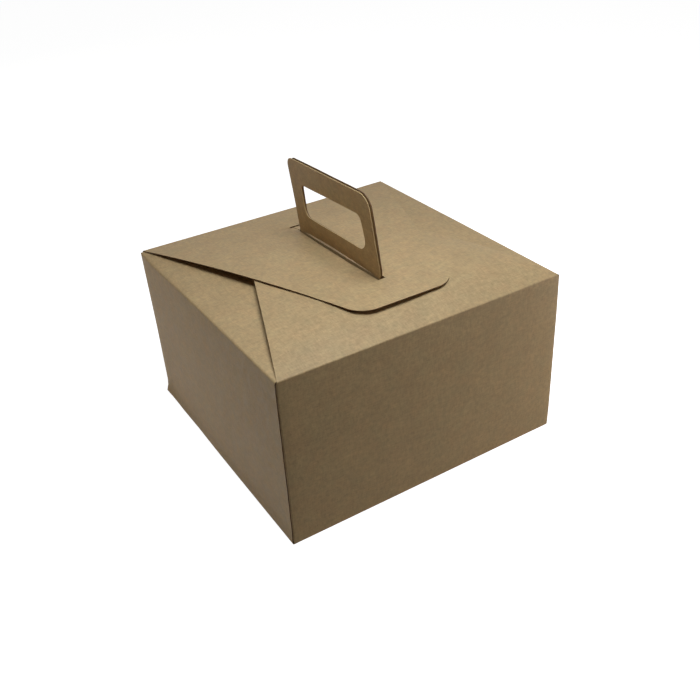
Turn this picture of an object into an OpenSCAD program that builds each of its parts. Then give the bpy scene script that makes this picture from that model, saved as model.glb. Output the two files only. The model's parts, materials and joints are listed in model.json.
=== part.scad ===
// Handled bakery box, folded from one blank of kraft board.
// Origin: centre of the footprint, on the table. +X right, +Y to the rear, +Z up.

/* [Box] */
// Width across the front wall
box_width = 250; // [200:1:300]
// Depth from the front wall to the rear wall
box_depth = 247; // [220:1:300]
// Height of the walls, up to the top creases
box_height = 145; // [90:1:200]
// Thickness of the board
board = 0.6; // [0.4:0.05:0.9]
// Width of the glue tab inside the front left corner
glue_tab = 18; // [10:1:30]

/* [Lid and front flap] */
// Distance from a flap's free edge to the opposite wall
flap_setback = 25; // [15:1:30]
// Width that a flap loses at each side, per unit of length
flap_taper = 0.38; // [0.25:0.01:0.42]
// Radius of a flap's two free corners
flap_corner = 20; // [8:1:30]
// Height of the lid's free edge above its crease
lid_rise = 10.5; // [8:0.5:16]
// Bow of the lid above a straight line from crease to free edge
lid_bow = 3.5; // [2.5:0.25:6]
// Height of the front flap's arch above the walls
front_arch = 7.5; // [5:0.25:10]
// Clearance between the lid and the carton at the crease
hinge_gap = 0.3; // [0.2:0.05:0.5]
// Clearance between the lid and the front flap under it
stack_gap = 0.5; // [0.3:0.05:1]

/* [Side flaps] */
// Height that the side flaps rise to where they meet
side_rise = 2; // [1:0.25:3]
// Depth of the side flaps where they meet
side_waist = 150; // [134:1:170]
// Gap between the side flaps' meeting edges, beyond the handle
side_gap = 0.6; // [0.4:0.1:1]

/* [Handle] */
// Width of the handle
handle_width = 124; // [104:1:132]
// Height of the handle's top above the walls
handle_height = 76.5; // [66:0.5:82]
// Radius of the handle's top corners
handle_corner = 9; // [4:0.5:12]
// Lean of the handle towards the left, in degrees
handle_lean = 4.6; // [2:0.1:6]
// Gap between the two layers at the top of the handle
layer_spread = 2.4; // [1:0.1:4]
// Width of the hand hole
window_width = 92; // [80:1:96]
// Height of the hand hole
window_height = 29.5; // [22:0.5:34]
// Radius of the hand hole's corners
window_corner = 7; // [3:0.5:10]
// Board left above the hand hole
grip_bar = 19; // [14:0.5:22]

/* [Slots] */
// Clearance beside and beyond the handle in each slot
slot_gap = 0.5; // [0.4:0.05:0.8]
// Free length of the lid's slot behind the handle
slot_slack = 9.5; // [2:0.5:12]
// Reach of the cross cuts at the ends of the lid's slot, to the right
cross_cut = 7; // [3:0.5:10]
// Width of a cross cut
cut_width = 0.5; // [0.3:0.1:0.8]

/* [Bottom] */
// Slant of the side bottom flaps' ends, measured along the wall
side_bottom_slant = 40; // [20:1:60]
// Gap between the side bottom flaps and the locking tongue
side_bottom_gap = 3; // [1:0.5:8]
// Distance of the locking edge in front of the middle
lock_offset = 12; // [4:1:24]
// Width of the locking tongue
tongue_width = 104; // [70:1:130]
// Length of the locking tongue
tongue_length = 24; // [14:1:34]
// Reach of the front bottom flap's two ears past the locking edge
ear_length = 34; // [20:1:50]
// Inset of the bottom flaps' side edges from the side walls, at their free edges
bottom_inset = 6; // [2:0.5:12]

/* [Hidden] */
$fn = 48;
kraft = "#b39c78";
profile_steps = 16;
corner_steps = 8;
// Extra length of cutting solids, so that no two faces coincide
spill = 1;
half_width = box_width / 2;
half_depth = box_depth / 2;
flap_length = box_depth - flap_setback;
// The locked bottom is four layers thick at its tongue
bottom_stack = 4 * board;
// The two layers of the handle start inside the side flaps' ridge and part towards the top
layer_foot = box_height + side_rise - board / 2;
layer_length = handle_height - side_rise + board / 2;
half_spread = asin((layer_spread + board) / 2 / layer_length);
left_lean = handle_lean + half_spread;
right_lean = handle_lean - half_spread;
// Reach of the slots from the plane where the side flaps meet
slot_half = handle_width / 2 + slot_gap;
slot_right = board + slot_gap;
front_slot_left = (lid_rise + lid_bow) * tan(left_lean) + board + slot_gap;
lid_slot_left = layer_length * sin(left_lean) + board + slot_gap;
// Distance from the lid's crease to the far side of the handle's front top corner
corner_run = half_depth + handle_width / 2 - handle_corner;
handle_swing = norm([corner_run, handle_height - handle_corner]) + handle_corner;
lid_slot_near = half_depth - slot_half - slot_slack;
lid_slot_far = handle_swing + slot_gap;

// Height of the lid's underside above the walls, at distance d from its crease
function lid_height(d) =
    hinge_gap + lid_rise * d / flap_length
    + 4 * lid_bow * d * (flap_length - d) / pow(flap_length, 2);

// Height of the front flap's upper side, which arches and then ducks under the lid
function front_height(d) =
    min(
        front_arch * (1 - pow(1 - 2 * d / flap_length, 4)) + side_rise * d / flap_length,
        lid_height(box_depth - d) - stack_gap
    );

// Points of an arc, from one angle to another
function arc(centre, radius, from, to) =
    [for (i = [0:corner_steps])
        let (a = from + (to - from) * i / corner_steps)
        centre + radius * [cos(a), sin(a)]];

// A sheet of board bent about one direction, whose upper side passes through the given points
module bent_sheet(upper, width) {
    lower = [for (i = [len(upper) - 1:-1:0]) upper[i] - [0, board]];
    rotate([90, 0, 90])
        linear_extrude(height = width, center = true)
            polygon(concat(upper, lower));
}

// Outline of a top flap that runs from its crease at y = 0 towards -Y
module flap_outline() {
    slant = atan(flap_taper);
    corner_y = flap_corner - flap_length;
    corner_x = half_width + flap_taper * corner_y - flap_corner / cos(slant);
    polygon(concat(
        [[-half_width, 0], [half_width, 0]],
        arc([corner_x, corner_y], flap_corner, -slant, -90),
        arc([-corner_x, corner_y], flap_corner, -90, slant - 180)
    ));
}

// A top flap cut to its outline, from the heights of its upper side
module top_flap(upper) {
    intersection() {
        bent_sheet(upper, box_width);
        translate([0, 0, -board - spill])
            linear_extrude(height = lid_rise + lid_bow + 2 * board + 4 * spill)
                flap_outline();
    }
}

// Cutting solid of a slot, from one distance to another along -Y
module slot_cut(left, right, near, far) {
    translate([-left, -far, -board - spill])
        cube([left + right, far - near, lid_rise + lid_bow + 2 * board + 4 * spill]);
}

// The four walls, closed by the tab that is glued inside the left wall
module walls() {
    difference() {
        translate([-half_width, -half_depth, 0])
            cube([box_width, box_depth, box_height]);
        translate([board - half_width, board - half_depth, -spill])
            cube([box_width - 2 * board, box_depth - 2 * board, box_height + 2 * spill]);
    }
    translate([board / 2 - half_width, board / 2 - half_depth, bottom_stack + board])
        cube([board * 1.5, glue_tab, box_height - bottom_stack - 3 * board]);
}

// The two side flaps, which meet in the middle of the top
module side_flaps() {
    ridge = [[-half_width, 0], [0, side_rise], [half_width, 0]];
    waist = side_waist / 2;
    translate([0, 0, box_height])
        difference() {
            intersection() {
                rotate([0, 0, -90])
                    bent_sheet(ridge, box_depth);
                translate([0, 0, -board - spill])
                    linear_extrude(height = side_rise + board + 2 * spill)
                        polygon([
                            [-half_width, -half_depth], [0, -waist], [half_width, -half_depth],
                            [half_width, half_depth], [0, waist], [-half_width, half_depth]
                        ]);
            }
            for (end = [0, 1])
                mirror([0, end, 0])
                    translate([-side_gap / 2, slot_half, -board - spill])
                        cube([side_gap, half_depth, side_rise + board + 2 * spill]);
        }
}

// A rectangle on the X axis with rounded corners
module rounded_bar(width, height, radius) {
    translate([-width / 2, radius])
        square([width, height - 2 * radius]);
    translate([radius - width / 2, 0])
        square([width - 2 * radius, height]);
    for (x = [radius - width / 2, width / 2 - radius], y = [radius, height - radius])
        translate([x, y])
            circle(radius);
}

// Outline of the handle with its hand hole
module handle_outline() {
    difference() {
        union() {
            rounded_bar(handle_width, layer_length, handle_corner);
            translate([-handle_width / 2, 0])
                square([handle_width, layer_length / 2]);
        }
        translate([0, layer_length - grip_bar - window_height])
            rounded_bar(window_width, window_height, window_corner);
    }
}

// One layer of the handle, which stands beside the meeting plane and leans to the left
module handle_layer(lean, side) {
    translate([0, 0, layer_foot])
        rotate([0, -lean, 0])
            translate([side * board / 2, 0, 0])
                rotate([90, 0, 90])
                    linear_extrude(height = board, center = true)
                        handle_outline();
}

// The front flap, which lies over the side flaps and under the lid
module front_flap() {
    upper = [for (i = [0:profile_steps])
        let (d = flap_length * i / profile_steps)
        [-d, front_height(d)]];
    translate([0, -half_depth, box_height])
        mirror([0, 1, 0])
            difference() {
                top_flap(upper);
                slot_cut(front_slot_left, slot_right, half_depth - slot_half, half_depth + slot_half);
            }
}

// Bottom flap that folds in from the front wall, with a notch for the locking tongue
module front_bottom() {
    lock_y = half_depth - lock_offset;
    ear_y = lock_y + ear_length;
    notch = tongue_width / 2 + 2 * board;
    translate([0, -half_depth, 2 * board])
        linear_extrude(height = board)
            polygon([
                [-half_width, 0], [half_width, 0],
                [half_width - bottom_inset, ear_y], [notch + bottom_inset, ear_y],
                [notch, lock_y], [-notch, lock_y],
                [-notch - bottom_inset, ear_y], [bottom_inset - half_width, ear_y]
            ]);
}

// Bottom flap that folds in from the rear wall last, with its tongue locked inside the notch
module rear_bottom() {
    lock_y = -lock_offset;
    linear_extrude(height = board)
        polygon([
            [-half_width, half_depth], [half_width, half_depth],
            [half_width - bottom_inset, lock_y + ear_length], [tongue_width / 2, lock_y],
            [-tongue_width / 2, lock_y], [bottom_inset - half_width, lock_y + ear_length]
        ]);
    translate([-tongue_width / 2, lock_y, 0])
        cube([tongue_width, board, bottom_stack]);
    translate([-tongue_width / 2, lock_y - tongue_length, bottom_stack - board])
        cube([tongue_width, tongue_length + board, board]);
}

// Bottom flap that folds in from a side wall, between the other two
module side_bottom_flap() {
    end_x = tongue_width / 2 + side_bottom_gap;
    end_y = half_depth - side_bottom_slant;
    translate([0, 0, board])
        linear_extrude(height = board)
            polygon([[half_width, -half_depth], [half_width, half_depth], [end_x, end_y], [end_x, -end_y]]);
}

// Everything that stays shut when the lid is lifted
module carton() {
    color(kraft) {
        walls();
        front_bottom();
        rear_bottom();
        side_bottom_flap();
        mirror([1, 0, 0])
            side_bottom_flap();
        side_flaps();
        front_flap();
        handle_layer(left_lean, -1);
        handle_layer(right_lean, 1);
    }
}

// The rear flap, which closes over everything and turns back on its crease.
// Its slot is as wide and as long as the leaning handle needs when the lid turns.
module lid_flap() {
    start = board + hinge_gap;
    run = flap_length - start;
    upper = [for (i = [0:profile_steps])
        let (d = start + run * i / profile_steps)
        [-d, lid_height(d) + board]];
    color(kraft)
        translate([0, half_depth, box_height])
            difference() {
                top_flap(upper);
                slot_cut(lid_slot_left, slot_right, lid_slot_near, lid_slot_far);
                for (d = [lid_slot_near, half_depth + slot_half])
                    slot_cut(lid_slot_left, cross_cut, d, d + cut_width);
            }
}

carton();
lid_flap();
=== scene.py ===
"""Handled bakery box: the folded kraft board as the photograph shows it.

The sheets are built in millimetres in the frame of the CAD model and turned into metres as they
become meshes. +X is right along the front wall, +Y goes to the rear, +Z is up. In a top flap, d is
the distance from its own crease, and heights are measured from the walls' top creases.
"""

import json
import math

import bpy
import numpy as np
from mathutils import Matrix, Vector, noise


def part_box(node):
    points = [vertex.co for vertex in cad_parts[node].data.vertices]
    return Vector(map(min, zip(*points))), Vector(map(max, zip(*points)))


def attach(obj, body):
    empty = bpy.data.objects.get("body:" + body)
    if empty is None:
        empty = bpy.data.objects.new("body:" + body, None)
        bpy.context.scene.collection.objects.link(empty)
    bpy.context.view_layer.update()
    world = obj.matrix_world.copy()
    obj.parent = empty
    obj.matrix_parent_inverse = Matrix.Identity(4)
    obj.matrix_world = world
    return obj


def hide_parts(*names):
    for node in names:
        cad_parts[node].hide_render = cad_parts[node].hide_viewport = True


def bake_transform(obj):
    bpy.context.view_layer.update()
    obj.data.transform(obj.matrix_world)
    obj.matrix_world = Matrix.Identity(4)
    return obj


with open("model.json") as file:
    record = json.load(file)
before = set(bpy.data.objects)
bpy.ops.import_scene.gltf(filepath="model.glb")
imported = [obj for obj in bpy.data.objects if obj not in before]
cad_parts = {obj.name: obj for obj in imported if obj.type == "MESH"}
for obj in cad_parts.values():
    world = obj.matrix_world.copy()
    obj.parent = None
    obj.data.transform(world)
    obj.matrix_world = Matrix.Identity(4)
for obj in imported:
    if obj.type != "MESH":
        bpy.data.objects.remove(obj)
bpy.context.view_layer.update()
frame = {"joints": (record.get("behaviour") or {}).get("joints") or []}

# Metres in a millimetre, and how close two places are when they count as one
MM = 0.001
CLOSE = 0.01

# Sizes that the frame gives
CREASE = frame["joints"][0]["pos_m"]
HALF_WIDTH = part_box("carton")[1].x / MM
HALF_DEPTH = CREASE[1] / MM
WALL_TOP = CREASE[2] / MM
FLAP_LENGTH = HALF_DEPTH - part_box("lid_flap")[0].y / MM

# The board and its folds
BOARD = 0.6
FOLD_RADIUS = 1.2
SIDE_FOLD_RADIUS = 1.8
FOLD_STEPS = 8
CORNER_RADIUS = 0.7
CORNER_STEPS = 6
CORNER_TOP = 0.35
GLUE_TAB = 18.0
TAB_GAP = 0.15
RAW_SETBACK = 1.3
WALL_STEP = 10.0
WALL_BOW = 0.5
SIDE_WALL_BOW = 0.4
SHARP_ANGLE = math.radians(40)

# The two wide top flaps
LID_INSET = 2.0
LID_TAPER = 0.3708
FRONT_INSET = 1.3
FRONT_TAPER = 0.378
FLAP_CORNER = 20.0
TIP_STEPS = 12
LID_GAP = 0.3
LID_RISE = 10.5
LID_BOW = 3.5
FRONT_ARCH = 7.5
FRONT_DOME = 2.4
FRONT_DOME_RIGHT = 2.0
SIDE_RISE = 2.0
SIDE_BULGE = 1.8
SIDE_END_HALF = 75.0
SIDE_END_GAP = 0.55
STACK_GAP = 0.5
LID_COLUMNS = 14
FRONT_COLUMNS = 12
SIDE_COLUMNS = 12
CREASE_STRIP = 4.0
CREASE_DROP = 2.5

# The handle: its two layers stand in planes that lean to the left
HANDLE_LEVEL = WALL_TOP + 8.0
LEFT_FACE_X = -1.0
LEFT_LEAN = math.radians(5.75)
RIGHT_LEAN = math.radians(5.2)
LAYER_GAP = 0.3
HANDLE_THICKNESS = 2 * BOARD + LAYER_GAP
HANDLE_WARP = 0.35
ARC_STEPS = 8
SIDE_STEPS = 16
RINGS = 9
HANDLE_REAR_Y = 61.5
HANDLE_FRONT_Y = -62.5
# Corners as (y, distance up the plane) and radius, from the rear foot round by the front
HANDLE_OUTLINE = [
    (61.0, -6.0, 0.3), (-62.3, -6.0, 0.3), (-62.6, 3.0, 2.0), (-64.9, 8.5, 4.0),
    (-61.1, 72.1, 11.7), (61.6, 68.0, 8.2),
]
HAND_HOLE = [(44.3, 19.1, 7.3), (-50.7, 21.8, 10.5), (-46.1, 52.4, 5.9), (44.6, 48.1, 5.4)]
# The right layer is a little smaller, and its hole sits a little off the left layer's
RIGHT_FRONT_INSET = 0.7
RIGHT_REAR_INSET = 0.8
RIGHT_TOP_INSET = 0.3
RIGHT_HOLE_SHIFTS = [(2.4, -2.2), (-0.6, -2.2), (-0.6, -0.5), (1.0, -0.5)]
# How far the slot pushes the handle's foot to the right: (y, distance) and (distance up, share)
FOOT_BOW = [(-62.5, 0.0), (-43.0, 0.6), (-22.0, 1.3), (5.0, 2.0), (30.0, 2.1), (48.0, 1.6), (61.5, 0.0)]
FOOT_BOW_UP = [(-6.0, 0.0), (-1.0, 1.0), (3.0, 0.9), (8.0, 0.5), (13.0, 0.15), (18.0, 0.0)]

# The lid's slot: it is shut behind the handle and stands open on the handle's left
SLOT_REAR = 48.0
SLOT_FRONT = 186.0
CUT_WIDTH = 1.1
REAR_CUT_X = -3.9
FRONT_CUT_X = 5.6
FRONT_OPENING = (-2.0, 4.9)
SLOT_STRIP = 8.0
SLIT_OFFSET = 0.1
SLIT_HALF = 0.02
SLIT_RUN = 1.5
REAR_CUT_SAG = 0.9
SLIT_CURL = 0.3
FRONT_CUT_LIFT = 0.5
# Distance of the lid's edges from the handle's faces at a y, on the left and on the right
SLOT_OPENING = [
    (HANDLE_FRONT_Y, 2.0), (-43.0, 2.9), (-22.0, 3.7), (20.0, 3.4), (32.0, 2.9), (48.0, 1.9),
    (HANDLE_REAR_Y, 1.1),
]
SLOT_RIGHT_ROOM = [(HANDLE_FRONT_Y, 3.1), (-55.0, 2.6), (-45.0, 1.0), (-40.0, 0.4)]

# The front flap's slot: the board sinks beside it, and its left edge stands up as a lip
FLAP_SLOT_START = HALF_DEPTH - 65.0
FLAP_SLOT_END = HALF_DEPTH + 80.0
SLOT_DEPTH = 3.6
SINK_WIDTH = 8.0
LIP_ABOVE_LID = 0.5
LIP_GAP = 0.5
LIP_WIDTH = 0.5
LIP_LEAN = 0.35
FLAP_SLOT_ROOM = 0.7
FLAP_SLOT_FLARE_Y = -58.0
# By y: the lip's root beside the handle's face, and the shares of the sinking and of the lip's height
LIP_ROOT = [(-62.0, -1.1), (-50.0, -1.2), (-22.0, -1.5), (35.0, -1.1), (50.0, -0.3), (61.0, -0.3)]
SINK_ALONG = [(-66.0, 0.0), (-58.0, 1.0), (74.0, 1.0), (84.0, 0.0)]
LIP_ALONG = [(-63.5, 0.0), (-62.5, 1.0), (50.0, 1.0), (58.0, 0.8), (61.0, 0.0)]

# Unevenness of the folded carton: reaches, and amounts by height or by y
LEAN_REACH = 70.0
REAR_LEFT_LEAN = [(0.0, -1.75), (75.0, -1.05), (135.0, 0.2), (WALL_TOP, 0.35)]
FOOT_HEIGHT = 9.0
FOOT_REACH = 12.0
LEFT_FLARE = [(50.0, 1.1), (85.0, 2.1)]
FRONT_FLARE = 1.0
REAR_FOOT_KICK = 0.6
RIGHT_RISE = [(-HALF_DEPTH, 0.5), (0.0, 1.2), (HALF_DEPTH, 1.3)]
LEFT_FOLD_DROP = [
    (-60.0, 0.0), (-20.0, 0.3), (20.0, 0.6), (60.0, 1.3), (92.0, 2.0), (108.0, 1.9), (122.0, 0.0),
]
RIGHT_EDGE_REACH = 50.0
RIGHT_EDGE_OUT = [(0.0, 0.0), (20.0, 0.6), (110.0, 0.7), (WALL_TOP, 0.1)]

# The locked bottom
LOCK_Y = -12.0
EAR_Y = 22.0
TONGUE_HALF = 52.0
TONGUE_LENGTH = 24.0
BOTTOM_INSET = 6.0
SIDE_BOTTOM_X = 55.0
SIDE_BOTTOM_Y = 83.5
RAMP = 14.0

# Colours of the board, and how warm and cool clouds change them
FACE_COLOUR = (0.403, 0.268, 0.131)
CUT_COLOUR = (0.44, 0.29, 0.13)
# Painted highlight: a light colour for the front flap's cut edges and the top of its lip, as if lit
PAINTED_HIGHLIGHT_COLOUR = (0.64, 0.46, 0.27)
# Painted shade: cut edges coloured nearly black as if they lay in shadow
PAINTED_SHADE_CUT_COLOUR = (0.13, 0.07, 0.035)
WARM = (1.021, 0.988, 0.97)
COOL = (0.979, 1.012, 1.006)
BOARD_SPECULAR = 0.22
TOOTH = 0.06

# The photograph's camera, fitted to the carton's corners, in metres and degrees
CAMERA_PLACE = (-0.32096, -0.56063, 0.46731)
CAMERA_AZIMUTH = 30.173
CAMERA_ELEVATION = 32.218
CAMERA_ROLL = 3.525
CAMERA_LENS = 45.171
SENSOR_WIDTH = 36.0
FLOOR_HALF = 4.0
FLOOR_COLOUR = (0.8, 0.8, 0.8, 1)
FLOOR_BOUNCE_COLOUR = (0.30, 0.27, 0.23, 1)
FLOOR_GLOW = 0.95


# Small helpers

def smooth(t):
    """Smooth step from 0 to 1."""
    t = min(max(t, 0.0), 1.0)
    return t * t * (3.0 - 2.0 * t)


def between(t, values):
    """Value at t, read off straight lines through (t, value) pairs."""
    return float(np.interp(t, [v[0] for v in values], [v[1] for v in values]))


def stations(breaks, step):
    """Rising or falling numbers through all the breaks, no two further apart than step."""
    result = [breaks[0]]
    for start, end in zip(breaks, breaks[1:]):
        count = max(1, math.ceil(abs(end - start) / step))
        result += [start + (end - start) * k / count for k in range(1, count + 1)]
    return result


def fade_in(t, start, end):
    """0 before start, 1 after end and smooth between them."""
    return smooth((t - start) / (end - start))


def bell(distance, reach):
    """1 at no distance, fading out over the reach."""
    return math.exp(-(distance / reach) ** 2)


# Unevenness of the folded carton

def foot_flare(x, y, z, near):
    """How far the walls' foot moves in x and y; near is the distance from the rear left edge."""
    foot = max(0.0, 1.0 - z / FOOT_HEIGHT)
    left = bell(x + HALF_WIDTH, FOOT_REACH) * between(y, LEFT_FLARE)
    front = bell(y + HALF_DEPTH, FOOT_REACH) * (HALF_WIDTH - x) / (2 * HALF_WIDTH)
    kick = REAR_FOOT_KICK * bell(near, FOOT_REACH)
    return -foot * (left + kick), -foot * (FRONT_FLARE * front - kick)


def top_rise(x, y, z):
    """The right side of the top stands a little high, and the left side's fold is lower."""
    right = fade_in(x, 40.0, 120.0) * fade_in(z, 100.0, 140.0)
    left_fold = (1.0 - fade_in(x, -HALF_WIDTH, 6.0 - HALF_WIDTH)) * fade_in(z, 115.0, 143.0)
    return right * between(y, RIGHT_RISE) - left_fold * between(y, LEFT_FOLD_DROP)


def settle(point):
    """Moves a point by the small unevenness of the folded carton."""
    x, y, z = point
    near = math.hypot(x + HALF_WIDTH, y - HALF_DEPTH)
    lean = bell(near, LEAN_REACH) * between(z, REAR_LEFT_LEAN)
    out = bell(math.hypot(x - HALF_WIDTH, y + HALF_DEPTH), RIGHT_EDGE_REACH) * between(z, RIGHT_EDGE_OUT)
    flare_x, flare_y = foot_flare(x, y, z, near)
    return (x - lean + flare_x + out, y + flare_y, z + top_rise(x, y, z))


# Folded board

def grid_faces(rows, columns, holes=()):
    """Quads of a grid. Their normals are the column direction crossed with the row direction."""
    faces = []
    for i in range(rows - 1):
        for j in range(columns - 1):
            if (i, j) not in holes:
                a = i * columns + j
                faces.append((a, a + 1, a + columns + 1, a + columns))
    return faces


def vertex_normals(points, faces):
    """Unit normals at the points, averaged from the faces round each of them."""
    normals = np.zeros_like(points)
    for face in faces:
        a, b, c, d = (points[k] for k in face)
        normal = np.cross(c - a, d - b)
        for k in face:
            normals[k] += normal
    lengths = np.linalg.norm(normals, axis=1)
    lengths[lengths == 0] = 1.0
    return normals / lengths[:, None]


def board_piece(name, points, faces, edge="kraft_painted_shade_edge"):
    """A sheet of board: points give its outer side, in millimetres, and it is thickened inward. Its cut
    edges get the edge material, which by default is painted dark as shade.
    """
    points = np.array([settle(p) for p in points], float)
    normals = vertex_normals(points, faces)
    count = len(points)
    sides = dict.fromkeys(side for face in faces for side in zip(face, face[1:] + face[:1]))
    rim = [(b, a, a + count, b + count) for a, b in sides if (b, a) not in sides]
    inner = [tuple(k + count for k in reversed(face)) for face in faces]
    solid = np.vstack([points, points - normals * BOARD]) * MM
    mesh = bpy.data.meshes.new(name)
    mesh.from_pydata([tuple(p) for p in solid], [], faces + inner + rim)
    mesh.materials.append(bpy.data.materials["kraft_face"])
    mesh.materials.append(bpy.data.materials[edge])
    for index, polygon in enumerate(mesh.polygons):
        polygon.material_index = int(index >= 2 * len(faces))
    mesh.shade_smooth()
    mesh.set_sharp_from_angle(angle=SHARP_ANGLE)
    mesh.validate()
    piece = bpy.data.objects.new(name, mesh)
    bpy.context.scene.collection.objects.link(piece)
    return piece


def carton_piece(name, points, faces, edge="kraft_painted_shade_edge"):
    """A sheet of board that stays with the carton."""
    piece = board_piece(name, points, faces, edge)
    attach(piece, "carton")
    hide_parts("carton")
    return piece


def fold_turn(height):
    """Angle through which a fold bends the board, from the upright wall to its flap."""
    return math.pi / 2 - math.atan((height(0.5) - height(0.0)) / 0.5)


def fold_start(height, radius=FOLD_RADIUS):
    """Height at which a wall ends and the fold of its top flap begins."""
    return height(0.0) - radius * math.tan(fold_turn(height) / 2)


def fold_rows(height, radius=FOLD_RADIUS):
    """(distance from the wall, height) of the outer side, up through the rounded fold."""
    turn = fold_turn(height)
    start = fold_start(height, radius)
    angles = [turn * k / FOLD_STEPS for k in range(FOLD_STEPS + 1)]
    return [(radius * (1 - math.cos(a)), start + radius * math.sin(a)) for a in angles]


# Heights of the flaps' upper sides above the wall tops, at distance d from their own crease

def lid_height(d):
    """The lid rises evenly over the flaps below it and is bowed a little."""
    u = d / FLAP_LENGTH
    return LID_GAP + BOARD + LID_RISE * u + 4 * LID_BOW * u * (1 - u)


def front_height(d):
    """The front flap arches over the side flaps and stays below the lid."""
    u = d / FLAP_LENGTH
    arch = FRONT_ARCH * (1 - (1 - 2 * u) ** 4) + SIDE_RISE * u
    below_lid = lid_height(2 * HALF_DEPTH - d) - BOARD - STACK_GAP
    return min(arch, below_lid)


def side_height(d):
    """The side flaps rise a little towards the handle."""
    return SIDE_RISE * d / HALF_WIDTH


def flap_half(d, inset, taper):
    """Half the width of a wide flap at distance d from its crease, with its rounded free corners."""
    slant = math.atan(taper)
    corner_half = HALF_WIDTH - inset - taper * FLAP_LENGTH
    run = FLAP_CORNER * math.tan((math.pi / 2 - slant) / 2)
    centre_half = corner_half - run
    tangent = FLAP_LENGTH - run * math.cos(slant)
    if d <= tangent:
        return HALF_WIDTH - inset - taper * max(d, 0.0)
    above = d - (FLAP_LENGTH - FLAP_CORNER)
    return centre_half + math.sqrt(max(FLAP_CORNER ** 2 - above ** 2, 0.0))


def lid_half(d):
    """Half the lid's width at distance d from its crease."""
    return flap_half(d, LID_INSET, LID_TAPER)


def front_half(d):
    """Half the front flap's width at distance d from its crease."""
    return flap_half(d, FRONT_INSET, FRONT_TAPER)


def corner_stations(taper):
    """Distances along the rounded free corners of a wide flap."""
    slant = math.atan(taper)
    centre = FLAP_LENGTH - FLAP_CORNER
    return [
        centre + FLAP_CORNER * math.sin(slant + (math.pi / 2 - slant) * k / TIP_STEPS)
        for k in range(TIP_STEPS + 1)
    ]


def handle_face_x(height):
    """Left face of the handle at a height above the wall tops."""
    return LEFT_FACE_X - (height + WALL_TOP - HANDLE_LEVEL) * math.tan(LEFT_LEAN)


# Walls

def wall_path():
    """Outer side of the wall sheet seen from above, from the glue tab round to the raw edge.

    Each point is (x, y, whether it lies inside a corner's arc).
    """
    tab_x = -HALF_WIDTH + BOARD + TAB_GAP
    corners = [
        (tab_x + CORNER_RADIUS, -HALF_DEPTH + CORNER_RADIUS, 180),
        (HALF_WIDTH - CORNER_RADIUS, -HALF_DEPTH + CORNER_RADIUS, 270),
        (HALF_WIDTH - CORNER_RADIUS, HALF_DEPTH - CORNER_RADIUS, 0),
        (-HALF_WIDTH + CORNER_RADIUS, HALF_DEPTH - CORNER_RADIUS, 90),
    ]
    knots = [(tab_x, -HALF_DEPTH + GLUE_TAB, False)]
    for x, y, first in corners:
        for k in range(CORNER_STEPS + 1):
            angle = math.radians(first + 90 * k / CORNER_STEPS)
            knots.append((
                x + CORNER_RADIUS * math.cos(angle),
                y + CORNER_RADIUS * math.sin(angle),
                0 < k < CORNER_STEPS,
            ))
    knots.append((-HALF_WIDTH, -HALF_DEPTH + RAW_SETBACK, False))
    path = [knots[0]]
    for a, b in zip(knots, knots[1:]):
        count = max(1, round(math.hypot(b[0] - a[0], b[1] - a[1]) / WALL_STEP))
        for k in range(1, count + 1):
            t = k / count
            path.append((
                a[0] + (b[0] - a[0]) * t,
                a[1] + (b[1] - a[1]) * t,
                k == count and b[2],
            ))
    return path


def wall_bulge(x, y, z):
    """How far a point of a wall moves in x and y, because the wall's middle stands out."""
    u = z / WALL_TOP
    up = math.sin(math.pi * min(max(u, 0.0), 1.0))
    across_x = math.cos(math.pi / 2 * min(1.0, abs(x) / HALF_WIDTH))
    across_y = math.cos(math.pi / 2 * min(1.0, abs(y) / HALF_DEPTH))
    wave = 0.25 * noise.noise(Vector((x / 70.0, y / 70.0, z / 60.0)))
    if abs(abs(y) - HALF_DEPTH) < CLOSE:
        return (0.0, math.copysign(up * across_x * (WALL_BOW + wave), y))
    if abs(abs(x) - HALF_WIDTH) < CLOSE:
        return (math.copysign(up * across_y * (SIDE_WALL_BOW + wave), x), 0.0)
    return (0.0, 0.0)


def wall_end(x, y, arc):
    """Height at which the wall sheet ends, at a point of its path."""
    if arc:
        return WALL_TOP - CORNER_TOP
    if y <= -HALF_DEPTH + CLOSE:
        return WALL_TOP + fold_start(front_height)
    if y >= HALF_DEPTH - CLOSE:
        return WALL_TOP - CREASE_DROP
    if abs(x) >= HALF_WIDTH - CLOSE:
        return WALL_TOP + fold_start(side_height, SIDE_FOLD_RADIUS)
    return WALL_TOP - 3 * BOARD


def make_walls():
    """The four walls and the glue tab, one sheet."""
    path = wall_path()
    levels = stations([0.0, 0.08, 1.0], 0.06)
    points = []
    for level in levels:
        for x, y, arc in path:
            inside = abs(x + HALF_WIDTH - BOARD - TAB_GAP) < CLOSE
            foot = 6 * BOARD if inside else FOLD_RADIUS
            z = foot + (wall_end(x, y, arc) - foot) * level
            dx, dy = wall_bulge(x, y, z)
            points.append((x + dx, y + dy, z))
    carton_piece("walls", points, grid_faces(len(levels), len(path)))


# Top flaps that stay shut

def front_bulge(x, d):
    """The front flap is domed a little between its slanted edges, more so on the right."""
    if d <= 2.0:
        return 0.0
    across = max(0.0, 1.0 - abs(x / max(front_half(d), 1.0)) ** 5)
    along = smooth(d / 30.0) * (1.0 - fade_in(d, 60.0, 130.0))
    return (FRONT_DOME + FRONT_DOME_RIGHT * fade_in(x, 5.0, 40.0)) * across * along


def foot_bow(y):
    """How far the handle's foot is pushed to the right by the slot's left edge."""
    return between(y, FOOT_BOW)


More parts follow.
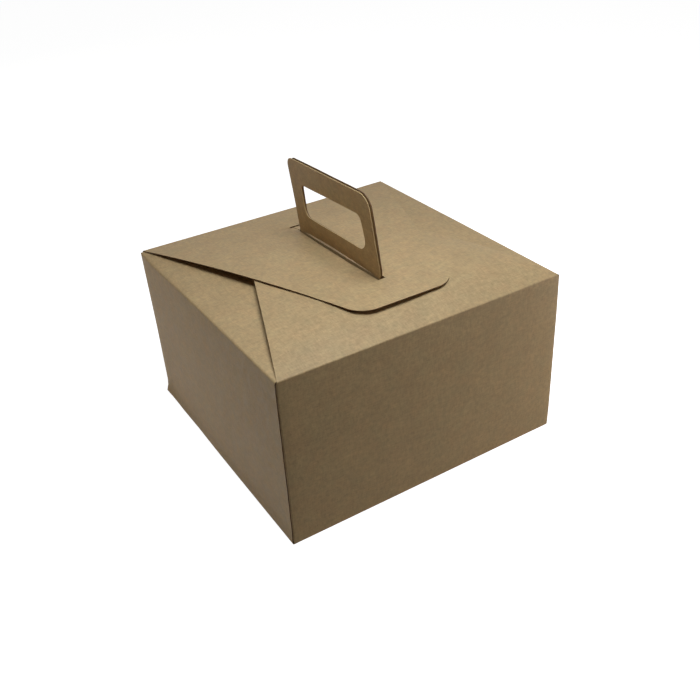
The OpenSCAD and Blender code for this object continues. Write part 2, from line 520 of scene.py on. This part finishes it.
def front_flap_rows():
    """(distance from the crease, height) of the front flap, closer together at the slot's ends."""
    rows = fold_rows(front_height)
    corner = corner_stations(FRONT_TAPER)
    breaks = [rows[-1][0] + 1.0, 6.0]
    breaks += [FLAP_SLOT_START + run for run in (0.0, 4.0, 9.0, 15.0)]
    breaks += [HALF_DEPTH + y for y in (44.0, 50.0, 57.0, 61.0, 70.0)]
    breaks += [FLAP_SLOT_END, corner[0]]
    return rows + [(d, front_height(d)) for d in stations(breaks, 6.0) + corner[1:]]


def front_flap_across(d, height, outer, sink):
    """(x, height) across the front flap; outer and sink are the shares of its columns."""
    half = front_half(d)
    y = d - HALF_DEPTH
    face = handle_face_x(height)
    left = face + foot_bow(y) - LIP_GAP
    right = face + foot_bow(y) + HANDLE_THICKNESS + FLAP_SLOT_ROOM + max(0.0, FLAP_SLOT_FLARE_Y - y)
    root = min(left - LIP_WIDTH, face + between(y, LIP_ROOT))
    flat = lid_height(2 * HALF_DEPTH - d) - height - front_bulge(face, d)
    low = min(0.0, flat - SLOT_DEPTH)
    lip = low + (flat + LIP_ABOVE_LID - low) * between(y, LIP_ALONG)
    across = [(-half + (root - SINK_WIDTH + half) * t, 0.0) for t in outer]
    across += [(root + SINK_WIDTH * (t - 1), low * smooth(t)) for t in sink]
    across += [(root + LIP_LEAN, lip), (left, lip)]
    across += [(right + SINK_WIDTH * t, low * (1 - smooth(t))) for t in [0.0] + sink]
    across += [(right + SINK_WIDTH + (half - right - SINK_WIDTH) * t, 0.0) for t in outer[1:]]
    sunk = between(y, SINK_ALONG)
    return [(x, height + front_bulge(x, d) + change * sunk) for x, change in across]


def make_front_flap():
    """The front flap, with its slot round the handle; its cut edges and the top of its lip are painted
    with a highlight.
    """
    rows = front_flap_rows()
    outer = [k / FRONT_COLUMNS for k in range(FRONT_COLUMNS + 1)]
    sink = [0.25, 0.5, 0.75, 1.0]
    columns = 2 * len(outer) + 2 * len(sink) + 2
    lip_top = len(outer) + len(sink)
    points = []
    for d, height in rows:
        for x, z in front_flap_across(d, height, outer, sink):
            points.append((x, d - HALF_DEPTH, WALL_TOP + z))
    holes = set()
    for i, (before, after) in enumerate(zip(rows, rows[1:])):
        if FLAP_SLOT_START <= before[0] + CLOSE and after[0] <= FLAP_SLOT_END + CLOSE:
            holes.add((i, lip_top + 1))
    faces = grid_faces(len(rows), columns, holes)
    # The front flap's cut edges get the painted highlight
    piece = carton_piece("front_flap", points, faces, "kraft_painted_highlight_edge")
    # The top faces of the lip beside the slot get the painted highlight as well
    for polygon, face in zip(piece.data.polygons, faces):
        row, column = divmod(face[0], columns)
        if column == lip_top and FLAP_SLOT_START <= rows[row][0] <= FLAP_SLOT_END:
            polygon.material_index = 1


def make_side_flap(side):
    """side is 1 for the right flap and -1 for the left one; both end at the handle."""
    end = HALF_WIDTH - SIDE_END_GAP
    rows = fold_rows(side_height, SIDE_FOLD_RADIUS)
    rows += [(d, side_height(d)) for d in stations([3.2, 8.0, end], 8.0)]
    across = [k / SIDE_COLUMNS for k in range(-SIDE_COLUMNS, SIDE_COLUMNS + 1)]
    widest = HALF_DEPTH - CORNER_RADIUS
    points = []
    for d, height in rows:
        half = widest - (widest - SIDE_END_HALF) * d / HALF_WIDTH
        bulge = SIDE_BULGE * math.sin(math.pi * min(1.0, d / end)) if d > 2.0 else 0.0
        for u in across:
            z = WALL_TOP + height + bulge * (1 - 0.5 * u * u)
            points.append((side * (HALF_WIDTH - d), side * u * half, z))
    name = "side_flap_right" if side > 0 else "side_flap_left"
    carton_piece(name, points, grid_faces(len(rows), len(across)))


# Handle

def rounded_corners(corners):
    """The arcs of a polygon's rounded corners, each a list of points."""
    count = len(corners)
    arcs = []
    for i, (y, s, radius) in enumerate(corners):
        here = Vector((y, s))
        before = (Vector(corners[i - 1][:2]) - here).normalized()
        after = (Vector(corners[(i + 1) % count][:2]) - here).normalized()
        opening = before.angle(after)
        centre = here + (before + after).normalized() * radius / math.sin(opening / 2)
        start = here + before * radius / math.tan(opening / 2) - centre
        end = here + after * radius / math.tan(opening / 2) - centre
        first = math.atan2(start.y, start.x)
        turn = (math.atan2(end.y, end.x) - first + math.pi) % (2 * math.pi) - math.pi
        angles = [first + turn * k / ARC_STEPS for k in range(ARC_STEPS + 1)]
        arcs.append([centre + radius * Vector((math.cos(a), math.sin(a))) for a in angles])
    return arcs


def along(chain, t):
    """The point at the share t of the length of a chain of points."""
    lengths = [0.0]
    for p, q in zip(chain, chain[1:]):
        lengths.append(lengths[-1] + (q - p).length)
    at = t * lengths[-1]
    return Vector((
        float(np.interp(at, lengths, [p.x for p in chain])),
        float(np.interp(at, lengths, [p.y for p in chain])),
    ))


def ring_loops(outline, hole):
    """The outline and the hole as loops with matching points: four corners, and a side after each."""
    rear_foot, front_foot, toe_low, toe_high, front_top, rear_top = rounded_corners(outline)
    outer = [rear_foot, front_foot, front_top, rear_top]
    inner = rounded_corners(hole)
    detours = [[], toe_low + toe_high, [], []]
    loop_out, loop_in = [], []
    for k, detour in enumerate(detours):
        following = (k + 1) % 4
        chain = [outer[k][-1]] + detour + [outer[following][0]]
        loop_out += outer[k]
        loop_in += inner[k]
        for n in range(1, SIDE_STEPS):
            t = n / SIDE_STEPS
            loop_out.append(along(chain, t))
            loop_in.append(inner[k][-1].lerp(inner[following][0], t))
    return loop_out, loop_in


def make_handle_layer(name, outline, hole, face_x, lean, right, edge):
    """One layer of the handle. face_x is its outer face at the handle's level."""
    loop_out, loop_in = ring_loops(outline, hole)
    points = []
    for r in range(RINGS + 1):
        for p, q in zip(loop_out, loop_in):
            y, s = p.lerp(q, r / RINGS)
            wave = noise.noise(Vector((y / 40.0, s / 35.0, 3.0 if right else 9.0)))
            warp = HANDLE_WARP * wave * smooth(s / 20.0)
            bow = foot_bow(y) * between(s, FOOT_BOW_UP)
            points.append((
                face_x - s * math.sin(lean) + warp + bow,
                y,
                HANDLE_LEVEL + s * math.cos(lean),
            ))
    count = len(loop_out)
    faces = []
    for r in range(RINGS):
        for k in range(count):
            a, b = r * count + k, r * count + (k + 1) % count
            quad = (a, b, b + count, a + count)
            faces.append(quad if right else tuple(reversed(quad)))
    carton_piece(name, points, faces, edge)


def right_layer_corner(y, s, radius):
    """A corner of the right layer's outline, from the left layer's."""
    y += RIGHT_FRONT_INSET if y < 0 else -RIGHT_REAR_INSET
    s -= RIGHT_TOP_INSET if s > 20 else 0.0
    return (y, s, radius)


def make_handle():
    """The two layers, which the side flaps become where they are folded up."""
    make_handle_layer(
        "handle_layer_left", HANDLE_OUTLINE, HAND_HOLE, LEFT_FACE_X, LEFT_LEAN, False,
        "kraft_cut_edge")
    outline = [right_layer_corner(*corner) for corner in HANDLE_OUTLINE]
    hole = [(y + dy, s + ds, r) for (y, s, r), (dy, ds) in zip(HAND_HOLE, RIGHT_HOLE_SHIFTS)]
    # The right layer's cut edge is painted dark, as shade in the gap between the layers
    make_handle_layer(
        "handle_layer_right", outline, hole, LEFT_FACE_X + HANDLE_THICKNESS, RIGHT_LEAN, True,
        "kraft_painted_shade_edge")


# Lid

def lid_point(x, d, height):
    """A point of the lid as it lies shut."""
    return (x, HALF_DEPTH - d, WALL_TOP + height)


def slot_edges(d):
    """x of the left and right edge of the lid's slot at distance d from the rear crease."""
    y = HALF_DEPTH - d
    face = handle_face_x(lid_height(d))
    if y < HANDLE_FRONT_Y:
        return face + FRONT_OPENING[0], face + FRONT_OPENING[1]
    left = face - between(y, SLOT_OPENING)
    right = face + foot_bow(y) + HANDLE_THICKNESS + between(y, SLOT_RIGHT_ROOM)
    if y > HANDLE_REAR_Y:
        shut = smooth((y - HANDLE_REAR_Y) / SLIT_RUN)
        middle = face + SLIT_OFFSET
        left = left * (1 - shut) + (middle - SLIT_HALF) * shut
        right = right * (1 - shut) + (middle + SLIT_HALF) * shut
    return left, right


def lid_surface(x, d):
    """Height of the lid's upper side, with the small bends of the board round the slot's ends."""
    height = lid_height(d)
    y = HALF_DEPTH - d
    right = slot_edges(d)[1]
    if SLOT_REAR <= d and y > HANDLE_REAR_Y - 6.0:
        near_cut = smooth((y - HANDLE_REAR_Y) / (HALF_DEPTH - SLOT_REAR - HANDLE_REAR_Y))
        height -= REAR_CUT_SAG * near_cut * bell(x, 7.0)
        if x >= right - CLOSE:
            fade = math.exp(-(x - right) / 3.5)
            height += SLIT_CURL * fade * smooth((y - HANDLE_REAR_Y + 6.0) / 4.0)
    if d > SLOT_FRONT:
        height += FRONT_CUT_LIFT * math.exp(-(d - SLOT_FRONT) / 3.0) * bell(x - 2.0, 6.0)
    return height


def lid_across(d, outer):
    """x across the lid, left to right; outer holds the shares of the columns beside the slot."""
    half = lid_half(d)
    left, right = slot_edges(d)
    strip_left = min(left - 0.6, REAR_CUT_X)
    strip_right = max(right + 0.4, FRONT_CUT_X)
    across = [-half + (half - SLOT_STRIP) * t for t in outer]
    across += [strip_left, (strip_left + left) / 2, left, right, (strip_right + right) / 2, strip_right]
    return across + [SLOT_STRIP + (half - SLOT_STRIP) * t for t in outer]


def make_lid():
    """The lid in front of its crease strip, with the slot and the rear cross cut."""
    tips = corner_stations(LID_TAPER)
    breaks = [CREASE_STRIP, 12.0, SLOT_REAR - CUT_WIDTH, SLOT_REAR, SLOT_REAR + 2.0, SLOT_REAR + 6.0]
    along_handle = (47.0, -44.0, -54.0, -58.0, -60.5, HANDLE_FRONT_Y)
    breaks += [HALF_DEPTH - y for y in (HANDLE_REAR_Y + SLIT_RUN, HANDLE_REAR_Y) + along_handle]
    breaks += [SLOT_FRONT, SLOT_FRONT + CUT_WIDTH, SLOT_FRONT + 5.0, tips[0]]
    rows = stations(breaks, 5.0) + tips[1:]
    outer = [k / LID_COLUMNS for k in range(LID_COLUMNS + 1)]
    columns = 2 * len(outer) + 6
    slot_column = len(outer) + 2
    points = [lid_point(x, d, lid_surface(x, d)) for d in rows for x in lid_across(d, outer)[::-1]]
    holes = set()
    for i, (before, after) in enumerate(zip(rows, rows[1:])):
        middle = (before + after) / 2
        if SLOT_REAR - CUT_WIDTH < middle < SLOT_FRONT + CUT_WIDTH:
            holes.add((i, slot_column))
        if SLOT_REAR - CUT_WIDTH < middle < SLOT_REAR:
            holes |= {(i, j) for j in range(slot_column - 2, slot_column + 3)}
    piece = board_piece("lid", points, grid_faces(len(rows), columns, holes))
    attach(piece, "lid_flap")
    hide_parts("lid_flap")


def make_lid_crease():
    """The strip of board round the rear crease, shaped as it lies with the lid shut."""
    rows = [(0.0, -CREASE_DROP + (fold_start(lid_height) + CREASE_DROP) * k / 3) for k in range(3)]
    rows += fold_rows(lid_height)
    rows += [(d, lid_height(d)) for d in (1.8, 2.5, 3.2, CREASE_STRIP)]
    across = range(LID_COLUMNS, -LID_COLUMNS - 1, -1)
    points = [
        lid_point(lid_half(d) * k / LID_COLUMNS, d, height)
        for d, height in rows
        for k in across
    ]
    piece = board_piece("lid_crease", points, grid_faces(len(rows), len(across)))
    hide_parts("lid_flap")
    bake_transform(piece)


# Bottom flaps

def bottom_profile(layer, length):
    """(distance from the wall, height above the table), from the flap's free end to the wall."""
    flat = stations([length, RAMP + FOLD_RADIUS, FOLD_RADIUS], 8.0)
    rows = [(d, layer * smooth((d - FOLD_RADIUS) / RAMP)) for d in flat]
    angles = [math.pi / 2 * k / FOLD_STEPS for k in range(1, FOLD_STEPS + 1)]
    return rows + [(FOLD_RADIUS * (1 - math.sin(a)), FOLD_RADIUS * (1 - math.cos(a))) for a in angles]


def make_wide_bottom(name, facing, layer, ends):
    """facing is -1 for the flap at the front wall and 1 for the rear one.

    ends gives the flap's length at distances from its middle.
    """
    xs = stations(sorted({x for x, _ in ends} | {-x for x, _ in ends}), 10.0)
    widest = HALF_WIDTH - CORNER_RADIUS
    longest = max(length for _, length in ends)
    level = RAMP + FOLD_RADIUS
    rows = bottom_profile(layer, longest)
    points = []
    for d, height in rows:
        for x in xs:
            run = d
            if d > level:
                run = level + (d - level) * (between(abs(x), ends) - level) / (longest - level)
            half_here = widest - BOTTOM_INSET * max(0.0, run - FOLD_RADIUS) / longest
            points.append((-facing * x * half_here / widest, facing * (HALF_DEPTH - run), height))
    carton_piece(name, points, grid_faces(len(rows), len(xs)))


def make_side_bottom(side):
    """side is 1 for the bottom flap at the right wall and -1 for the one at the left wall."""
    length = HALF_WIDTH - SIDE_BOTTOM_X
    widest = HALF_DEPTH - CORNER_RADIUS
    rows = bottom_profile(BOARD, length)
    points = []
    for d, height in rows:
        half = widest - (widest - SIDE_BOTTOM_Y) * max(0.0, d - FOLD_RADIUS) / length
        for k in range(-10, 11):
            points.append((side * (HALF_WIDTH - d), side * half * k / 10, height))
    name = "side_bottom_right" if side > 0 else "side_bottom_left"
    carton_piece(name, points, grid_faces(len(rows), 21))


def make_bottom():
    """The four bottom flaps and the rear one's tongue, which locks them."""
    widest = HALF_WIDTH - CORNER_RADIUS
    rear_ends = [
        (0.0, HALF_DEPTH - LOCK_Y), (TONGUE_HALF, HALF_DEPTH - LOCK_Y),
        (widest, HALF_DEPTH - EAR_Y),
    ]
    notch = TONGUE_HALF + 2 * BOARD
    front_ends = [
        (0.0, HALF_DEPTH + LOCK_Y), (notch, HALF_DEPTH + LOCK_Y),
        (notch + BOTTOM_INSET, HALF_DEPTH + EAR_Y), (widest, HALF_DEPTH + EAR_Y),
    ]
    make_wide_bottom("rear_bottom", 1, 0.0, rear_ends)
    make_wide_bottom("front_bottom", -1, 2 * BOARD, front_ends)
    make_side_bottom(1)
    make_side_bottom(-1)
    top = 4 * BOARD
    profile = [(LOCK_Y, 0.05), (LOCK_Y, top), (LOCK_Y - TONGUE_LENGTH, top)]
    xs = [TONGUE_HALF * k / 4 for k in range(4, -5, -1)]
    points = [(x, y, z) for y, z in profile for x in xs]
    carton_piece("bottom_tongue", points, grid_faces(len(profile), len(xs)))


# Materials

class Wiring:
    """The nodes of one material, with short ways to add and join them."""

    def __init__(self, material):
        material.use_nodes = True
        self.nodes = material.node_tree.nodes
        self.links = material.node_tree.links
        self.shader = self.nodes["Principled BSDF"]
        self.where = self.nodes.new("ShaderNodeTexCoord").outputs["Object"]

    def noise(self, scale, detail, stretch=(1, 1, 1), roughness=0.5):
        """Noise in the object's own coordinates."""
        mapping = self.nodes.new("ShaderNodeMapping")
        mapping.inputs["Scale"].default_value = stretch
        self.links.new(self.where, mapping.inputs["Vector"])
        node = self.nodes.new("ShaderNodeTexNoise")
        node.inputs["Scale"].default_value = scale
        node.inputs["Detail"].default_value = detail
        node.inputs["Roughness"].default_value = roughness
        self.links.new(mapping.outputs["Vector"], node.inputs["Vector"])
        return node.outputs["Fac"]

    def ranged(self, value, low, high, start=0.3, end=0.7):
        """The range from start to end of a value, spread from low to high."""
        node = self.nodes.new("ShaderNodeMapRange")
        node.inputs["From Min"].default_value = start
        node.inputs["From Max"].default_value = end
        node.inputs["To Min"].default_value = low
        node.inputs["To Max"].default_value = high
        self.links.new(value, node.inputs["Value"])
        return node.outputs["Result"]

    def maths(self, operation, a, b):
        """An operation on two values, each a number or the output of a node."""
        node = self.nodes.new("ShaderNodeMath")
        node.operation = operation
        for socket, value in zip(node.inputs, (a, b)):
            if isinstance(value, float):
                socket.default_value = value
            else:
                self.links.new(value, socket)
        return node.outputs["Value"]


def board_lightness(wiring, mottle, mottling, fibres):
    """Clouds, mottling, two ways of fibres and dark flecks, as one factor of the colour."""
    clouds = wiring.noise(42.0, 2.0)
    flecks = wiring.noise(1500.0, 1.0)
    factor = wiring.maths("MULTIPLY", wiring.ranged(clouds, 1 - 0.5 * mottle, 1 + 0.5 * mottle),
                          wiring.ranged(mottling, 1 - mottle, 1 + mottle))
    for fibre in fibres:
        streaks = wiring.ranged(fibre, 1 - 0.8 * mottle, 1 + 0.8 * mottle)
        factor = wiring.maths("MULTIPLY", factor, streaks)
    dark = wiring.ranged(flecks, 1.0, 1 - 2.5 * mottle, 0.66, 0.74)
    return wiring.maths("MULTIPLY", factor, dark)


def board_tint(wiring, colour):
    """The colour, a little warmer in some places and cooler in others."""
    tint = wiring.nodes.new("ShaderNodeMix")
    tint.data_type = "RGBA"
    tint.inputs["A"].default_value = (*[c * k for c, k in zip(colour, WARM)], 1)
    tint.inputs["B"].default_value = (*[c * k for c, k in zip(colour, COOL)], 1)
    places = wiring.noise(75.0, 3.0, roughness=0.6)
    wiring.links.new(wiring.ranged(places, 0.0, 1.0), tint.inputs["Factor"])
    return tint.outputs["Result"]


def kraft(name, colour, mottle, bump):
    """Kraft board: clouds, mottling and fibres in the colour, and a faint tooth in the surface."""
    material = bpy.data.materials.new(name)
    wiring = Wiring(material)
    nodes, links, shader = wiring.nodes, wiring.links, wiring.shader
    mottling = wiring.noise(260.0, 3.0, roughness=0.6)
    fibres_x = wiring.noise(900.0, 2.0, stretch=(0.22, 1.0, 1.3))
    fibres_y = wiring.noise(900.0, 2.0, stretch=(1.0, 0.22, 0.3))

    scaled = nodes.new("ShaderNodeVectorMath")
    scaled.operation = "SCALE"
    links.new(board_tint(wiring, colour), scaled.inputs["Vector"])
    lightness = board_lightness(wiring, mottle, mottling, (fibres_x, fibres_y))
    links.new(lightness, scaled.inputs["Scale"])
    links.new(scaled.outputs["Vector"], shader.inputs["Base Color"])

    links.new(wiring.ranged(mottling, 0.5, 0.62), shader.inputs["Roughness"])
    shader.inputs["Specular IOR Level"].default_value = BOARD_SPECULAR
    halves = [wiring.maths("MULTIPLY", fibre, 0.5) for fibre in (fibres_x, fibres_y)]
    relief = nodes.new("ShaderNodeBump")
    relief.inputs["Strength"].default_value = bump
    relief.inputs["Distance"].default_value = TOOTH * MM
    links.new(wiring.maths("ADD", *halves), relief.inputs["Height"])
    links.new(relief.outputs["Normal"], shader.inputs["Normal"])


# Floor, light and camera

def seen_directly(nodes, links):
    """1 for rays from the camera and for mirror and glass rays, 0 for light bouncing about."""
    path = nodes.new("ShaderNodeLightPath")
    value = path.outputs["Is Camera Ray"]
    for other in ("Is Glossy Ray", "Is Transmission Ray"):
        most = nodes.new("ShaderNodeMath")
        most.operation = "MAXIMUM"
        links.new(value, most.inputs[0])
        links.new(path.outputs[other], most.inputs[1])
        value = most.outputs[0]
    return value


def make_floor():
    """A pale floor: white to the camera, with the object's shadow, and dull in what it bounces."""
    mesh = bpy.data.meshes.new("floor")
    corners = [(-1, -1), (1, -1), (1, 1), (-1, 1)]
    mesh.from_pydata([(x * FLOOR_HALF, y * FLOOR_HALF, 0) for x, y in corners], [], [(0, 1, 2, 3)])
    floor = bpy.data.objects.new("floor", mesh)
    bpy.context.scene.collection.objects.link(floor)
    material = bpy.data.materials.new("floor")
    material.use_nodes = True
    nodes, links = material.node_tree.nodes, material.node_tree.links
    nodes.remove(nodes["Principled BSDF"])
    seen = seen_directly(nodes, links)
    pale = nodes.new("ShaderNodeBsdfDiffuse")
    pale.inputs["Color"].default_value = FLOOR_COLOUR
    glow = nodes.new("ShaderNodeEmission")
    glow.inputs["Strength"].default_value = FLOOR_GLOW
    both = nodes.new("ShaderNodeAddShader")
    links.new(pale.outputs[0], both.inputs[0])
    links.new(glow.outputs[0], both.inputs[1])
    dull = nodes.new("ShaderNodeBsdfDiffuse")
    dull.inputs["Color"].default_value = FLOOR_BOUNCE_COLOUR
    mix = nodes.new("ShaderNodeMixShader")
    links.new(seen, mix.inputs[0])
    links.new(dull.outputs[0], mix.inputs[1])
    links.new(both.outputs[0], mix.inputs[2])
    links.new(mix.outputs[0], nodes["Material Output"].inputs["Surface"])
    mesh.materials.append(material)


def make_world(strength, colour):
    """White surroundings to the camera, and faint light on everything else."""
    world = bpy.data.worlds.new("studio")
    bpy.context.scene.world = world
    world.use_nodes = True
    nodes, links = world.node_tree.nodes, world.node_tree.links
    ambient = nodes["Background"]
    ambient.inputs["Color"].default_value = (*colour, 1)
    ambient.inputs["Strength"].default_value = strength
    white = nodes.new("ShaderNodeBackground")
    white.inputs["Color"].default_value = (1, 1, 1, 1)
    mix = nodes.new("ShaderNodeMixShader")
    links.new(seen_directly(nodes, links), mix.inputs[0])
    links.new(ambient.outputs[0], mix.inputs[1])
    links.new(white.outputs[0], mix.inputs[2])
    links.new(mix.outputs[0], nodes["World Output"].inputs["Surface"])


def make_lamp(name, place, aim, size, power, colour=(1, 1, 1)):
    """A square lamp that the camera doesn't see."""
    light = bpy.data.lights.new(name, "AREA")
    light.shape = "SQUARE"
    light.size = size
    light.energy = power
    light.color = colour
    lamp = bpy.data.objects.new(name, light)
    lamp.location = place
    lamp.rotation_euler = (Vector(aim) - Vector(place)).to_track_quat("-Z", "Y").to_euler()
    lamp.visible_camera = False
    bpy.context.scene.collection.objects.link(lamp)


def make_camera():
    """The photograph's camera, fitted to the carton's corners."""
    azimuth = math.radians(CAMERA_AZIMUTH)
    elevation = math.radians(CAMERA_ELEVATION)
    roll = math.radians(CAMERA_ROLL)
    forward = Vector((
        math.sin(azimuth) * math.cos(elevation),
        math.cos(azimuth) * math.cos(elevation),
        -math.sin(elevation),
    ))
    level = forward.cross(Vector((0, 0, 1))).normalized()
    down = forward.cross(level)
    right = level * math.cos(roll) + down * math.sin(roll)
    lower = down * math.cos(roll) - level * math.sin(roll)
    rotation = Matrix((right, -lower, -forward)).transposed()
    data = bpy.data.cameras.new("camera")
    data.sensor_width = SENSOR_WIDTH
    data.lens = CAMERA_LENS
    camera = bpy.data.objects.new("camera", data)
    camera.matrix_world = Matrix.Translation(CAMERA_PLACE) @ rotation.to_4x4()
    bpy.context.scene.collection.objects.link(camera)
    bpy.context.scene.camera = camera


kraft("kraft_face", FACE_COLOUR, 0.10, 0.35)
kraft("kraft_cut_edge", CUT_COLOUR, 0.08, 0.6)
# A painted highlight, for the front flap's cut edges and its lip
kraft("kraft_painted_highlight_edge", PAINTED_HIGHLIGHT_COLOUR, 0.08, 0.6)
# Cut edges with painted shade, used by default for the sheets' rims
kraft("kraft_painted_shade_edge", PAINTED_SHADE_CUT_COLOUR, 0.08, 0.6)
make_walls()
make_front_flap()
make_side_flap(1)
make_side_flap(-1)
make_handle()
make_bottom()
make_lid()
make_lid_crease()

make_floor()
make_world(0.03, (1.0, 1.0, 1.0))
make_lamp("overhead", (0.10, -0.12, 1.05), (0.02, -0.02, 0.15), 0.7, 1.95)
make_lamp("above_front", (-0.03, -0.14, 0.55), (-0.01, -0.14, 0.15), 0.22, 1.82, (0.76, 0.88, 1.0))
make_lamp("left_low", (-0.5, 0.14, 0.03), (-0.1, 0.0, 0.1), 0.4, 0.4, (1.0, 0.97, 0.75))
make_lamp("right_low", (0.50, -0.28, 0.12), (0.1, -0.12, 0.08), 0.25, 1.5)
make_lamp("behind_left", (-0.5, 1.2, 0.5), (0.0, 0.0, 0.15), 0.8, 1.2, (1.0, 0.7, 0.4))
make_camera()
bpy.context.scene.view_settings.view_transform = "Standard"
